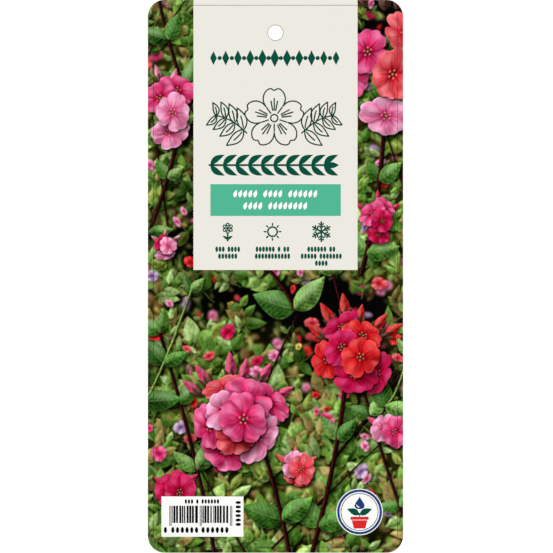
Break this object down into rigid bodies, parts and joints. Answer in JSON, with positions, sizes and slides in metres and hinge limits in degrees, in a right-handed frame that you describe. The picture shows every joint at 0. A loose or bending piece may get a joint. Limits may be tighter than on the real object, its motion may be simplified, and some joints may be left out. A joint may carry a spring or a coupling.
{
  "type": "plant label",
  "caption": "Tall flat plastic plant label with rounded corners and a round hanging hole near its top edge, printed on its front.",
  "frame": {"origin": "middle of the label's back, on the surface it lies on", "axes": "+X the label's right seen from its printed front, +Y its top, where the hanging hole is, +Z the way its printed front looks"},
  "size_m": [0.102, 0.221, 0.0005],
  "materials": {
    "printed_plastic": "white polypropylene sheet, printed on its front with a garden picture, a cream panel and dark green marks, under a satin varnish"
  },
  "bodies": {
    "root": {"label_sheet": "printed_plastic"}
  },
  "joints": []
}
